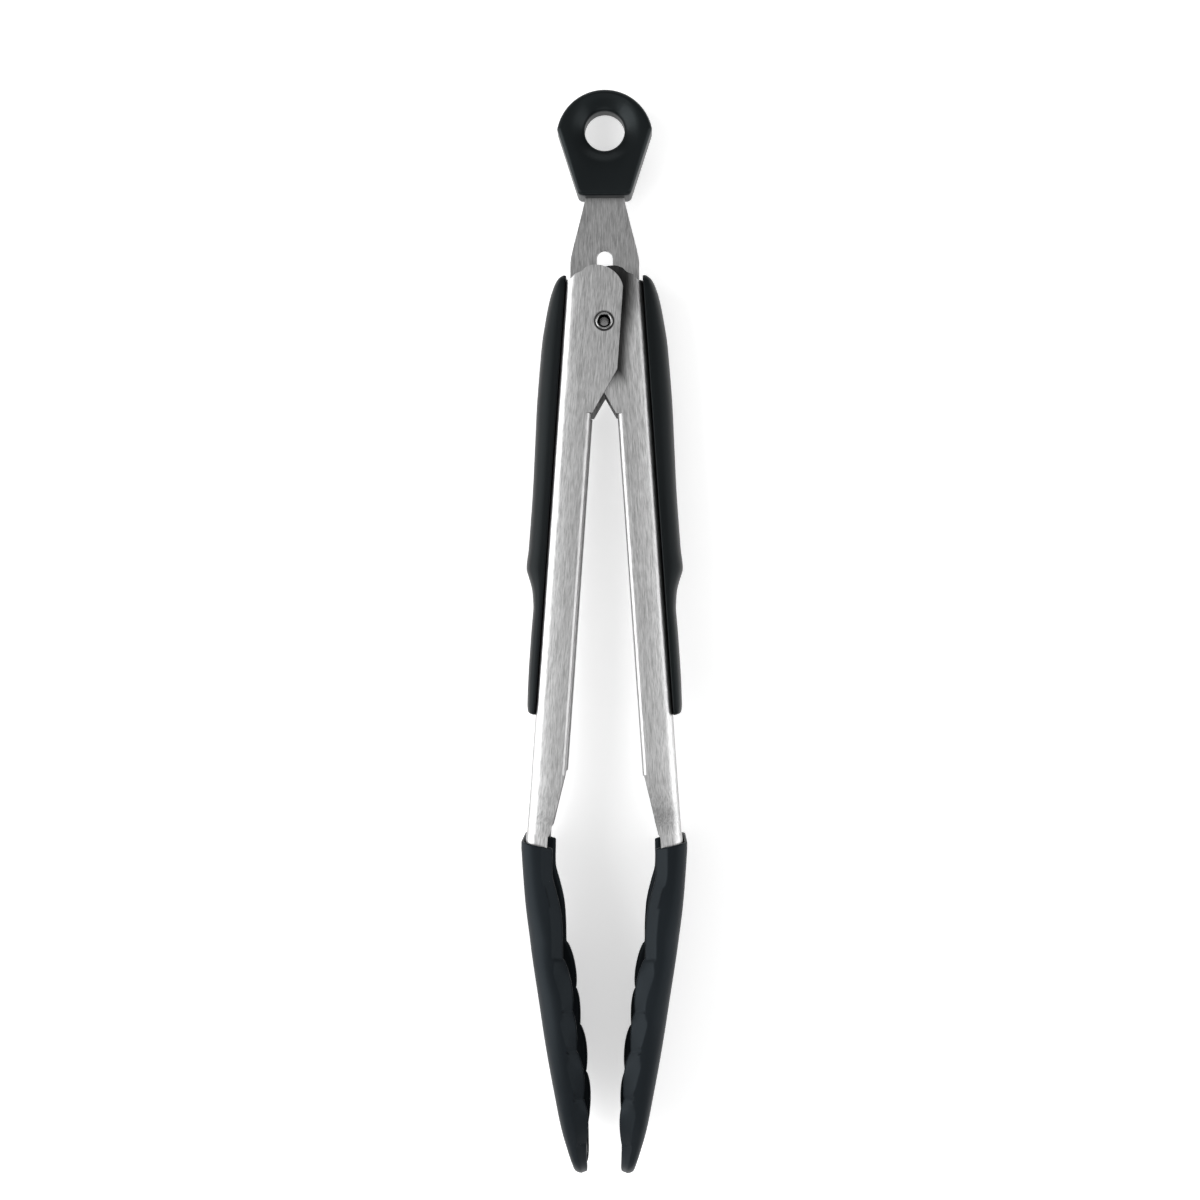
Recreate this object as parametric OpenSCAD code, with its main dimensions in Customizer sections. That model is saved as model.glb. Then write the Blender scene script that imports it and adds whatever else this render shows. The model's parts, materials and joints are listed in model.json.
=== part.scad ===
// Spring-loaded kitchen tongs that lock closed with a pull tab.
// The tongs lie flat: pivot axis nearly along Z, tab end toward +Y, left arm on -X.
// The arms are drawn in the locked pose, resting on the heads and the rivet.

/* [Pose] */
// tilt of each arm away from the centre line in the locked pose
arm_tilt = 4; // [2:0.5:8]
// angle each arm swings out from the locked pose
open_swing = 14; // [8:0.5:14]
// nose-up tilt that lets the wide heads and the rivet touch the table together
rest_pitch = 1.95; // [0:0.05:4]
// height of the pivot point above the table
pivot_height = 8.47; // [8:0.01:14]
// distance from the pivot to the middle of the length
pivot_offset = 76.8; // [70:0.05:85]

/* [Arms] */
// sheet thickness of the arms
sheet_t = 0.85; // [0.6:0.05:1.2]
// half width of the outer (left) arm channel
outer_half_w = 8; // [6:0.1:10]
// half width of the inner (right) arm channel at the pivot
inner_half_w = 6.85; // [5:0.05:9]
// distance from the pivot axis to the outside of the web
web_x = 10.27; // [8:0.01:12]
// outside bend radius between web and flanges
bend_r = 2.5; // [1.2:0.1:4]
// height of the web top above the pivot
web_top = 9.8; // [7:0.1:12]
// distance from the pivot to the inner edge of the flanges, toward the web
flange_edge = 1.67; // [0:0.01:4]
// reach of the pivot ears past the pivot axis
ear_reach = 4.05; // [3:0.05:4.5]
// radius of the rounded ear top
ear_r = 7; // [6.6:0.05:8]
// height of the lower end of the rolled lips
lip_low = -113; // [-120:1:-100]
// height of the upper end of the rolled lips
lip_high = -23; // [-30:1:-20]
// outside radius of the rolled lip
lip_r = 1.3; // [1:0.1:2]
// half width the channel flares to where it enters the head
flare_half_w = 9.3; // [8:0.1:10]
// width of the slot in the web top that clears the lock plate
notch_w = 1.8; // [1.6:0.1:3]
// height of the bottom of that slot above the pivot
notch_low = 1; // [0:0.1:3]

/* [Grips] */
// half width of the soft grips
grip_half_w = 7.4; // [6:0.1:9]
// radius of the round pegs that hold each grip to its web
peg_r = 1.6; // [1:0.1:2.5]

/* [Heads] */
// wall thickness of the silicone sleeve
head_t = 2.7; // [2.4:0.1:4]
// widest half width of the scoop
scoop_half_w = 14.5; // [11:0.5:18]
// mean length of one scallop along the arm
scallop_pitch = 11.45; // [9:0.05:12]
// reach of the first scallop past the valleys
scallop_h = 1.2; // [0.4:0.05:1.6]
// position of the first scallop valley along the arm
scallop_start = -157.5; // [-159:0.1:-156]
// slope of the cuff's rim, lower at the free edges
cuff_slope = 0.15; // [0:0.01:0.34]

/* [Lock] */
// half width of the lock plate at its straight part
plate_half_w = 8.7; // [8:0.05:9]
// thickness of the lock plate
plate_t = 1; // [0.8:0.1:1.5]
// width of the slot that slides on the pivot
slot_w = 3.9; // [3.8:0.1:4.4]
// radius of the hanging hole in the pull tab
hang_r = 5; // [4:0.1:6]
// thickness of the pull tab
tab_t = 8.4; // [6:0.1:11]
// outside radius of the ring part of the tab
tab_r = 12.1; // [10:0.1:14]

/* [Pivot and spring] */
// radius of the rivet shaft
pin_r = 1.8; // [1.5:0.05:2]
// radius of the bore of the hollow rivet
pin_bore_r = 1.1; // [0.6:0.05:1.3]
// radius of the rolled rims of the rivet
rim_r = 2.15; // [2.1:0.05:2.6]
// running clearance between the rivet and the ear holes
pin_fit = 0.06; // [0.02:0.01:0.1]
// radius of the spring wire
wire_r = 0.6; // [0.4:0.05:0.8]
// mean radius of the spring coils
coil_r = 2.75; // [2.6:0.05:3.5]
// turns of wire on each side of the lock plate
coil_turns = 3; // [2:1:4]

/* [Hidden] */
steel = [0.72, 0.73, 0.74];
soft_black = [0.10, 0.11, 0.12];
slate = [0.18, 0.20, 0.22];
bright = [0.80, 0.80, 0.80];
// height of the ear top arc centre and its distance from the pivot axis
ear_cx = -2.6;
ear_cy = 6.75;
// distance from the pivot axis to the flat on the inner ears
ear_flat = 7.8;
core_t = 0.65;
joint_y = lip_low;
// facing surfaces of glued or overmoulded pieces keep this much apart
skin = 0.05;

// puts the tongs on the table
module place() {
    translate([0, pivot_offset, pivot_height]) rotate([-rest_pitch, 0, 0]) children();
}

// turns a piece drawn on an upright arm to the arm's resting tilt; side 1 is left, -1 right
module on_arm(side) {
    if (side > 0) rotate([0, 0, -arm_tilt]) children();
    if (side < 0) mirror([1, 0, 0]) rotate([0, 0, -arm_tilt]) children();
}

function arc(cx, cy, r, a0, a1, n) =
    [for (i = [0:n]) let (a = a0 + (a1 - a0) * i / n) [cx + r * cos(a), cy + r * sin(a)]];

// ---- lofted skins -------------------------------------------------------------

// faces between m loops of n points, the first loop starting at point number k0
function side_faces(n, m, k0) = [for (i = [0:m - 2]) for (j = [0:n - 1])
    let (k = (j + 1) % n, a = k0 + i * n) each [[a + j, a + k, a + n + k], [a + j, a + n + k, a + n + j]]];
// faces that close the loop of n points starting at point number k0
function cap_faces(n, k0) = [for (j = [0:n / 2 - 2]) let (a = k0 + j, b = k0 + n - 1 - j)
    each [[a, b, b - 1], [a, b - 1, a + 1]]];
function flip(faces) = [for (t = faces) [t[2], t[1], t[0]]];

// joins equal loops of points into one closed skin; first and last loops are capped
module skin_loops(loops) {
    n = len(loops[0]);
    m = len(loops);
    polyhedron(points = [for (l = loops) each l], convexity = 8,
        faces = concat(side_faces(n, m, 0), cap_faces(n, 0), flip(cap_faces(n, (m - 1) * n))));
}

// the same skin with a blind pocket that opens in the first loop
module skin_pocket(loops, pocket) {
    n = len(loops[0]);
    m = len(loops);
    q = len(pocket);
    rim = [for (j = [0:n - 1]) let (k = (j + 1) % n) each [[j, m * n + k, k], [j, m * n + j, m * n + k]]];
    polyhedron(points = [for (l = concat(loops, pocket)) each l], convexity = 8,
        faces = concat(side_faces(n, m, 0), flip(cap_faces(n, (m - 1) * n)), rim,
            flip(side_faces(n, q, m * n)), cap_faces(n, (m + q - 1) * n)));
}

// ---- scoop section ------------------------------------------------------------

// position of the back of the scoop, per height along the upright arm
function back_x(y) = lookup(y, [[-212.3, 8.6], [-211.8, 7.95], [-210.9, 7.4], [-209, 6.75],
    [-206, 5.6], [-200.3, 3.6], [-191.5, 1.25], [-182.9, -0.95], [-174, -3.1], [-165.6, -5.05],
    [-160.5, -6.25], [-153, -7.95], [-145.6, -9.4], [-138, -10.55], [-131, -11.5], [-100, -11.5]]);
// position of the edge line through the scallop valleys
function valley_x(y) = lookup(y, [[-212.3, 9.4], [-212, 9.9], [-211.6, 10.25], [-210.9, 10.5],
    [-210, 10.5], [-207, 10.25], [-203.2, 9.85], [-191.1, 8.35], [-179.3, 5.95], [-169.7, 4.2],
    [-157.5, 0.95], [-152.8, 0.55], [-147.7, -0.1], [-144.7, -0.8], [-141.6, -1.8], [-137.1, -3.2],
    [-131.7, -3.55], [-100, -3.55]]);
// half width of the scoop
function scoop_w(y) = lookup(y, [[-207, 0.68], [-203, 0.76], [-197, 0.87], [-191, 0.94],
    [-183, 0.99], [-177, 1], [-169, 0.96], [-161, 0.88], [-153, 0.80], [-145, 0.745], [-137, 0.725],
    [-131, 0.725]]) * scoop_half_w;
// thickness of the sole, solid toward the toe
function sole_t(y) = lookup(y, [[-208.5, 5], [-204.5, 3.2], [-200, head_t], [-131, head_t]]);
toe_y = -206.5;
toe_l = 5.7;
function toe_w(y) = y > toe_y ? 1
    : sqrt(max(0.02, 1 - pow((toe_y - y) / (toe_l + 0.16), 2)));
function half_w(y) = scoop_w(y) * toe_w(y);
function corner_r(y) = lookup(y, [[-213, 1.6], [-205, 3], [-195, 5.5], [-180, 7.2], [-165, 6.5],
    [-150, 4.6], [-140, 3.6], [-131, 3.4], [-100, 3.4]]);
// valleys between the scallops, which differ a little in length and reach
function valley_y(k) = scallop_start - scallop_pitch * [0, 1.066, 1.904, 2.934, 3.991][k];
function lobe_of(y) = y > valley_y(1) ? 0 : y > valley_y(2) ? 1 : y > valley_y(3) ? 2 : 3;
function scallop(y) = y >= valley_y(0) || y <= valley_y(4) ? 0
    : let (k = lobe_of(y), part = (valley_y(k) - y) / (valley_y(k) - valley_y(k + 1)))
        scallop_h * [1, 0.45, 0.8, 0.7][k] * pow(sin(180 * pow(part, 0.75)), 0.8);
function edge_x(y) = valley_x(y) + scallop(y);

// one loop of the scoop band at height y, between two depths below the back skin;
// cut shortens the free edges
function band(y, y_at, o, t, cut) =
    let (b = back_x(y_at), d = edge_x(y_at) - b - cut, w = half_w(y_at),
        tt = min(t, d - o - 0.4), tw = min(tt, 0.5 * w),
        ro = max(min(corner_r(y_at) - o, d - o - 0.1), 0.4),
        ri = max(min(corner_r(y_at) - o - tt, d - o - tt - 0.1), 0.3),
        wo = w - o, wi = w - o - tw,
        so = b + o, si = b + o + tt,
        bev = o > 0 ? 0 : min(1.4, tw / 2), e1 = b + max(d - 2.7, o + ro + 0.05),
        e2 = b + max(d - 2.7, o + tt + ri + 0.05),
        outer = concat([[b + d, -wo + bev], [e1, -wo]],
            [for (a = [0:18:90]) [so + ro - ro * sin(a), -wo + ro - ro * cos(a)]],
            [for (a = [90:-18:0]) [so + ro - ro * sin(a), wo - ro + ro * cos(a)]],
            [[e1, wo], [b + d, wo - bev]]),
        inner = concat([[b + d, wi], [e2, wi]],
            [for (a = [0:18:90]) [si + ri - ri * sin(a), wi - ri + ri * cos(a)]],
            [for (a = [90:-18:0]) [si + ri - ri * sin(a), -wi + ri - ri * cos(a)]],
            [[e2, -wi], [b + d, -wi]]))
    [for (p = concat(outer, inner)) [p[0], y, p[1]]];

// sloping end loop of the sleeve
function cuff(o, t, cut) = [for (p = band(0, -131, o, t, cut))
    [p[0], -130.9 + cuff_slope * (edge_x(-131) - p[0]), p[2]]];

scallop_ys = concat([for (k = [0:3]) for (i = [0:5])
    valley_y(k) + (valley_y(k + 1) - valley_y(k)) * i / 6], [valley_y(4)]);
head_ys = concat([-131, -134, -137.1, -139.5, -141.6, -144.7, -147.7, -152.8],
    [for (y = scallop_ys) if (y > toe_y + 0.5) y],
    [for (a = [0:15:75]) toe_y - toe_l * sin(a)], [toe_y - toe_l - 0.1]);

core_ys = concat([-128.2, -131, -137, -141.6, -149.5], [for (k = [0:3])
    each [valley_y(k), (valley_y(k) + valley_y(k + 1)) / 2]], [-203.5]);

// ---- arms ---------------------------------------------------------------------

// open C section, web outside at -web_x, flanges reaching edge
module c_section(hw, edge) {
    r = bend_r;
    ri = bend_r - sheet_t;
    xi = web_x - sheet_t;
    wi = hw - sheet_t;
    difference() {
        union() {
            translate([-web_x + r, -hw]) square([edge + web_x - r, 2 * hw]);
            translate([-web_x, -hw + r]) square([r + 1, 2 * hw - 2 * r]);
            for (s = [-1, 1]) translate([-web_x + r, s * (hw - r)]) circle(r, $fn = 64);
        }
        translate([-xi + ri, -wi]) square([edge + xi - ri + 1, 2 * wi]);
        translate([-xi, -wi + ri]) square([ri + 1, 2 * wi - 2 * ri]);
        for (s = [-1, 1]) translate([-xi + ri, s * (wi - ri)]) circle(ri, $fn = 64);
    }
}

module channel(hw, edge, y0, y1) {
    translate([0, y1, 0]) rotate([90, 0, 0]) linear_extrude(y1 - y0) c_section(hw, edge);
}

// rolled inner lip on both flanges
module lips(hw) {
    r = lip_r;
    l = lip_high - lip_low;
    for (s = [-1, 1])
        translate([-flange_edge - r, lip_high, s * (hw - r)])
            rotate([90, 0, 0]) linear_extrude(l) difference() {
                intersection() {
                    circle(r, $fn = 48);
                    translate([0, s > 0 ? 0 : -r]) square([r, r]);
                }
                circle(r - sheet_t, $fn = 48);
            }
}

// side outline of the ear and the flanges above the lips
module ear_outline() {
    a_end = acos((ear_reach - ear_cx) / ear_r);
    polygon(concat(
        [[-web_x - 1, lip_high], [-web_x - 1, web_top - 0.1], [-9.07, web_top], [-8.05, 11.1],
            [-6.4, 11.9], [-5.5, 12.95]],
        arc(ear_cx, ear_cy, ear_r, 103, a_end, 14),
        arc(ear_reach - 0.6, -11.5, 0.6, 0, -32, 3),
        [[-1.3, lip_high + 0.3], [-flange_edge - lip_r, lip_high]]));
}

// sheet channel of one arm, standing upright with the pivot at the origin
module arm_sheet(hw) {
    intersection() {
        channel(hw, ear_reach + 1, lip_high, 15);
        translate([0, 0, -hw - 1]) linear_extrude(2 * hw + 2) ear_outline();
    }
    channel(hw, -flange_edge - lip_r, joint_y, lip_high);
    lips(hw);
}

// loop of the flared channel below the lips and of the steel core in the head
function flare_w(y, hw) = lookup(y, [[-128, flare_half_w], [-125.5, flare_half_w - 0.1],
    [-122.5, hw + 0.45 * (flare_half_w - hw)], [-118, hw + 0.1 * (flare_half_w - hw)],
    [-115, hw], [0, hw]]);
function flare_edge(y) = lookup(y, [[-128, -4.6], [-126, -4.2], [-113, -flange_edge - 0.3],
    [0, -flange_edge - 0.3]]);
function flare_loop(y, hw, o, t) =
    let (w = flare_w(y, hw) - o, r = bend_r - o, ri = bend_r - o - t, b = -web_x + o,
        e = flare_edge(y) - (o > 0.05 ? 1.5 : 0),
        wi = w - t, bi = b + t,
        outer = concat([[e, -w], [e - 0.5, -w]],
            [for (a = [0:18:90]) [b + r - r * sin(a), -w + r - r * cos(a)]],
            [for (a = [90:-18:0]) [b + r - r * sin(a), w - r + r * cos(a)]],
            [[e - 0.5, w], [e, w]]),
        inner = concat([[e, wi], [e - 0.5, wi]],
            [for (a = [0:18:90]) [bi + ri - ri * sin(a), wi - ri + ri * cos(a)]],
            [for (a = [90:-18:0]) [bi + ri - ri * sin(a), -wi + ri - ri * cos(a)]],
            [[e - 0.5, -wi], [e, -wi]]))
    [for (p = concat(outer, inner)) [p[0], y, p[1]]];

module flare_and_core(hw) {
    skin_loops(concat(
        [for (y = [3, 0.5]) flare_loop(joint_y + y, hw, 0.12, sheet_t - 0.24)],
        [for (y = [joint_y + 0.1, -115, -118, -120.5, -122.5, -124, -125.5, -127.3])
            flare_loop(y, hw, 0.01, sheet_t - 0.08)],
        [for (y = core_ys) band(y, y, 1.1, core_t, 1.4)]));
}

module arm(side, hw) {
    on_arm(side) difference() {
        union() {
            arm_sheet(hw);
            flare_and_core(hw);
        }
        // pivot hole
        cylinder(h = 40, r = pin_r + pin_fit, center = true, $fn = 64);
        // slot that clears the lock plate
        translate([-web_x - 2, notch_low, -notch_w / 2]) cube([4, 20, notch_w]);
        // peg holes of the grip
        for (y = [-15, -52, -90])
            translate([-web_x, y, 0]) rotate([0, 90, 0])
                cylinder(h = 8, r = peg_r + skin, center = true, $fn = 48);
    }
}

module left_arm() {
    color(steel) place() difference() {
        arm(1, outer_half_w);
        // shallow dimples for the rivet rims
        for (s = [-1, 1]) translate([0, 0, s * (outer_half_w + 0.7)])
            cylinder(h = 2, r = rim_r + 0.45, center = true, $fn = 64);
    }
}

module right_arm() {
    color(steel) place() difference() {
        arm(-1, inner_half_w);
        // flat on the ear tops that faces the left web when fully open, clear of its inside bends
        on_arm(-1) rotate([0, 0, 2 * (arm_tilt + open_swing)])
            translate([ear_flat, -5, -inner_half_w - 1]) cube([8, 20, 2 * inner_half_w + 2]);
    }
}

// ---- grips --------------------------------------------------------------------

function grip_t(y) = lookup(y, [[-98.5, 1], [-98.35, 1.8], [-97.8, 2.2], [-96, 2.45], [-85, 2.7],
    [-79, 2.7], [-72.6, 2.6], [-70, 2.85], [-68, 3.15], [-66, 3.75], [-64.3, 4.4], [-62.6, 5],
    [-61.8, 5.08], [-57, 4.85], [-45, 4.8], [-32, 5.05], [-20, 5.3], [-7, 5.15], [0, 4.6],
    [5.6, 3.85], [8.9, 2.95], [10.3, 2.2], [10.9, 1.4]]);
function grip_w(y) = grip_half_w * lookup(y, [[-98.5, 0.84], [-98, 0.93], [-96, 0.97], [-90, 0.98],
    [-70, 1], [7, 1], [9.8, 0.95], [10.9, 0.82]]);

// crowned section of the grip, flat against the web
function grip_loop(y) =
    let (t = grip_t(y), w = grip_w(y), x0 = -web_x - skin,
        crown = [for (i = [0:13]) let (a = 180 * i / 13, c = cos(a), s = sin(a))
            [x0 - 0.3 - (t - 0.3) * pow(s, 0.75), y, -w * sign(c) * pow(abs(c), 0.8)]],
        base = [for (i = [13:-1:0]) let (a = 180 * i / 13, c = cos(a))
            [x0, y, -(w - 0.25) * sign(c) * pow(abs(c), 0.8)]])
    concat(crown, base);

grip_ys = [-98.5, -98.35, -97.8, -96, -85, -79, -72.6, -70, -68, -66, -64.3, -62.6, -61.8, -57,
    -45, -32, -20, -7, 0, 5.6, 8.9, 10.3, 10.9];

module grip(side) {
    on_arm(side) {
        skin_loops([for (i = [len(grip_ys) - 1:-1:0]) grip_loop(grip_ys[i])]);
        // pegs through the web with a button inside the channel
        for (y = [-15, -52, -90]) translate([-web_x, y, 0]) rotate([0, 90, 0]) {
            translate([0, 0, -1]) cylinder(h = sheet_t + 1.5, r = peg_r, $fn = 48);
            translate([0, 0, sheet_t + skin]) cylinder(h = 0.7, r = peg_r + 0.9, $fn = 48);
        }
    }
}

module left_grip() {
    color(soft_black) place() grip(1);
}

module right_grip() {
    color(soft_black) place() grip(-1);
}

// ---- heads --------------------------------------------------------------------

// silicone sleeve: outer band with a pocket that takes the steel core
module sleeve() {
    skin_pocket(concat([cuff(0, head_t, 0)], [for (y = head_ys) band(y, y, 0, sole_t(y), 0)]),
        concat([cuff(1.1 - skin, core_t + 2 * skin, 1.4 - skin)], [for (y = core_ys) if (y < -130)
            band(y < -203 ? y - skin : y, y, 1.1 - skin, core_t + 2 * skin, 1.4 - skin)]));
}

module left_head() {
    color(slate) place() on_arm(1) sleeve();
}

module right_head() {
    color(slate) place() on_arm(-1) sleeve();
}

// ---- lock ---------------------------------------------------------------------

module plate_outline() {
    half = [[4.3, 38], [4.9, 31.9], [6.17, 26.8], [7.48, 21.7], [8.11, 19.2], [8.55, 17.2],
        [plate_half_w, 16], [plate_half_w, 5], [9, 3.5], [9, -3.5], [7.5, -5.8], [5.5, -6.4]];
    polygon(concat(half, [for (i = [len(half) - 1:-1:0]) [-half[i][0], half[i][1]]]));
}

module lock_plate() {
    color(steel) place() difference() {
        translate([0, 0, -plate_t / 2]) linear_extrude(plate_t) plate_outline();
        // slot: round top, straight sides, round bottom
        for (y = [18.9 - slot_w / 2, -1.35])
            translate([0, y, 0]) cylinder(h = 4, r = slot_w / 2, center = true, $fn = 64);
        translate([-slot_w / 2, -1.35, -2]) cube([slot_w, 20.25 - slot_w / 2, 4]);
    }
}

// round top of the tab and the tapered neck below it
module tab_body() {
    translate([0, 0, -tab_t / 2]) {
        intersection() {
            translate([0, 46.5, 0]) cylinder(h = tab_t, r = tab_r, $fn = 128);
            translate([-20, 48.7, -1]) cube([40, 20, tab_t + 2]);
        }
        linear_extrude(tab_t)
            polygon([[10, 51.5], [11.9, 48.7], [6.9, 33.3], [6.65, 32.7], [6.1, 32.25], [5.6, 32.15],
                [-5.6, 32.15], [-6.1, 32.25], [-6.65, 32.7], [-6.9, 33.3], [-11.9, 48.7], [-10, 51.5]]);
    }
}

module pull_tab() {
    color(soft_black) place() difference() {
        union() tab_body();
        // hanging hole with a wide countersink on both faces
        translate([0, 48.7, 0]) cylinder(h = 20, r = hang_r, center = true, $fn = 96);
        for (s = [0, 180]) translate([0, 48.7, 0]) rotate([s, 0, 0])
            translate([0, 0, 2]) cylinder(h = 2.4, r1 = hang_r, r2 = 8.8, $fn = 96);
        // pocket for the end of the lock plate
        translate([0, 0, -plate_t / 2 - skin]) linear_extrude(plate_t + 2 * skin)
            polygon([[5, 31.3], [4.93, 32.15], [4.37, 38 + skin], [-4.37, 38 + skin], [-4.93, 32.15], [-5, 31.3]]);
    }
}

// ---- pivot and spring ---------------------------------------------------------

module pivot_rivet() {
    hw = outer_half_w;
    color(bright) place() difference() {
        union() {
            cylinder(h = 2 * hw + 0.6, r = pin_r, center = true, $fn = 64);
            for (s = [0, 180]) rotate([s, 0, 0])
                translate([0, 0, hw - 0.25]) cylinder(h = 0.65, r = rim_r, $fn = 64);
        }
        cylinder(h = 2 * hw + 4, r = pin_bore_r, center = true, $fn = 64);
        for (s = [0, 180]) rotate([s, 0, 0])
            translate([0, 0, hw - 0.1]) cylinder(h = 0.6, r1 = pin_bore_r, r2 = 1.6, $fn = 64);
    }
}

coil_low = plate_t / 2 + 0.35 + wire_r;
coil_pitch = 2 * wire_r + 0.06;
// the wire leaves the outer end of a coil toward the left web and the inner end toward the right
leg_a = 250;
outer_leg = [-9.35, -21];
inner_leg = [9.1, -25.6];

function tangent_angle(p, s) =
    let (d = norm(p), a = atan2(p[1], p[0])) a + s * acos(coil_r / d);

module tube(path) {
    n = len(path);
    loops = [for (i = [0:n - 1])
        let (p = path[i], q0 = path[max(i - 1, 0)], q1 = path[min(i + 1, n - 1)],
            d = (q1 - q0) / norm(q1 - q0), e = cross(d, [0, 0, 1]) / norm(cross(d, [0, 0, 1])),
            f = cross(e, d))
        [for (k = [0:7]) p + wire_r * (cos(45 * k) * e + sin(45 * k) * f)]];
    skin_loops(loops);
}

// one coil above the plate, from the inner leg up to the outer leg
function coil_path() =
    let (a0 = tangent_angle(inner_leg, 1), a1 = tangent_angle(outer_leg, -1),
        sweep = 360 * coil_turns + (a1 - a0), steps = ceil(abs(sweep) / 22.5),
        top = coil_low + coil_pitch * sweep / 360)
    concat([[inner_leg[0], inner_leg[1], coil_low]],
        [for (i = [0:steps]) let (a = a0 + sweep * i / steps)
            [coil_r * cos(a), coil_r * sin(a), coil_low + (top - coil_low) * i / steps]],
        [[outer_leg[0], outer_leg[1], top]]);

module torsion_spring() {
    color(bright) place() {
        tube(coil_path());
        mirror([0, 0, 1]) tube(coil_path());
        // bridge below the plate joining the two inner legs
        translate([inner_leg[0], inner_leg[1], 0])
            cylinder(h = 2 * coil_low + 2 * wire_r, r = wire_r + 0.03, center = true, $fn = 24);
    }
}

// ---- output -------------------------------------------------------------------

left_arm();
right_arm();
left_grip();
right_grip();
left_head();
right_head();
lock_plate();
pull_tab();
pivot_rivet();
torsion_spring();
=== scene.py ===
import json
import math
import bmesh
import bpy
from mathutils import Matrix, Vector


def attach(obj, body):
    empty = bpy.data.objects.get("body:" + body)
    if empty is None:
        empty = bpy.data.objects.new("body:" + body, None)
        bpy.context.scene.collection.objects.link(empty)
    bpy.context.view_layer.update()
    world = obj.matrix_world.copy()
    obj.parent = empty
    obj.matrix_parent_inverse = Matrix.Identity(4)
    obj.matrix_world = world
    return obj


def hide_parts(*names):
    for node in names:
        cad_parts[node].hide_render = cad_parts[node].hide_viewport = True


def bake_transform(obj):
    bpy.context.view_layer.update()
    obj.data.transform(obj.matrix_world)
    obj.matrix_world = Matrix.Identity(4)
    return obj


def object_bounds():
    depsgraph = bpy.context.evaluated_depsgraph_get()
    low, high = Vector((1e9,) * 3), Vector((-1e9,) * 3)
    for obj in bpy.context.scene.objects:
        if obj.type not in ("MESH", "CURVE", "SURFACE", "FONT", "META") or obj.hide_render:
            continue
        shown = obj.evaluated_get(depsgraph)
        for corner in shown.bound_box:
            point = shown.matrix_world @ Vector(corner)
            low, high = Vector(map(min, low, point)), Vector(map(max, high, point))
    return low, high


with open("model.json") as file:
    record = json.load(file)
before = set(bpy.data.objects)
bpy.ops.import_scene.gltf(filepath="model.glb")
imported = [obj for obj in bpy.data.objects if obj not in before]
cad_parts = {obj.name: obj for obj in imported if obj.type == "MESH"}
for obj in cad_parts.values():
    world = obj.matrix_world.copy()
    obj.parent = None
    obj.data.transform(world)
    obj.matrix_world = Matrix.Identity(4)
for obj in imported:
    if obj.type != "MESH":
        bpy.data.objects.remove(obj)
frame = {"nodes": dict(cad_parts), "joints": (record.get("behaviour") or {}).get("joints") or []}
CAD_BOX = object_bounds()
SCENE = bpy.context.scene
HINGE = next(j for j in frame["joints"] if j["name"] == "left_arm_pivot")
PIVOT = Vector(HINGE["pos_m"])
PIN_AXIS = -Vector(HINGE["axis"]).normalized()
PITCH = math.atan2(PIN_AXIS.y, PIN_AXIS.z)
# millimetres with the pivot at the origin, Y toward the tab, Z along the pin -> row frame
TONGS = Matrix.Translation(PIVOT) @ Matrix.Rotation(-PITCH, 4, "X") @ Matrix.Scale(0.001, 4)
# tilt of each arm from the centre line in the locked pose
TILT = math.radians(4)


def on_arm(side):
    """Matrix from an upright left arm, in millimetres, to the row frame. side 1 is left, -1 right."""
    turn = Matrix.Rotation(-TILT, 4, "Z")
    if side < 0:
        turn = Matrix.Scale(-1, 4, (1, 0, 0)) @ turn
    return TONGS @ turn


# ---- camera -------------------------------------------------------------------

LENS, SENSOR = 47.6, 36
CAMERA_DISTANCE = 400
CAMERA_AIM = Vector((-1.2, -69.0, 0))
CAMERA_YAW = math.radians(1.3)


def make_camera():
    data = bpy.data.cameras.new("camera")
    data.sensor_width = SENSOR
    data.lens = LENS
    data.clip_start = 0.01
    data.clip_end = 20
    cam = bpy.data.objects.new("camera", data)
    SCENE.collection.objects.link(cam)
    eye = CAMERA_AIM + CAMERA_DISTANCE * Vector((math.sin(CAMERA_YAW), 0, math.cos(CAMERA_YAW)))
    back = (TONGS.to_3x3() @ (eye - CAMERA_AIM)).normalized()
    up = (TONGS.to_3x3() @ Vector((0, 1, 0))).normalized()
    right = up.cross(back).normalized()
    up = back.cross(right)
    place = Matrix((right, up, back)).transposed().to_4x4()
    place.translation = TONGS @ eye
    cam.matrix_world = place
    SCENE.camera = cam


# ---- floor and light ----------------------------------------------------------

FLOOR_HALF = 6.0
FLOOR_GAP = 0.0002
# name, place, size and watts of each soft light
LIGHTS = (("left_soft", (-0.95, -0.05, 0.34), (1.0, 1.8), 15.5),
          ("right_soft", (0.95, 0.0, 0.30), (0.7, 1.6), 4.6),
          ("top_soft", (0.0, 1.2, 0.42), (1.0, 0.4), 1.5),
          ("low_soft", (0.0, -1.1, 0.42), (1.0, 0.4), 2.0))


def flat_material(name, colour, rough):
    mat = bpy.data.materials.new(name)
    mat.use_nodes = True
    bsdf = mat.node_tree.nodes["Principled BSDF"]
    bsdf.inputs["Base Color"].default_value = (*colour, 1)
    bsdf.inputs["Roughness"].default_value = rough
    return mat


def make_floor():
    me = bpy.data.meshes.new("floor")
    bm = bmesh.new()
    corners = ((-1, -1), (1, -1), (1, 1), (-1, 1))
    bm.faces.new([bm.verts.new((x * FLOOR_HALF, y * FLOOR_HALF, 0)) for x, y in corners])
    bm.to_mesh(me)
    bm.free()
    floor = bpy.data.objects.new("floor", me)
    floor.location.z = CAD_BOX[0][2] - FLOOR_GAP
    mat = flat_material("floor", (0.93, 0.93, 0.93), 0.9)
    # a softly lit table top, so that shadows stay pale
    glow = mat.node_tree.nodes["Principled BSDF"]
    glow.inputs["Emission Color"].default_value = (1, 1, 1, 1)
    glow.inputs["Emission Strength"].default_value = 0.5
    floor.data.materials.append(mat)
    SCENE.collection.objects.link(floor)


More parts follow.
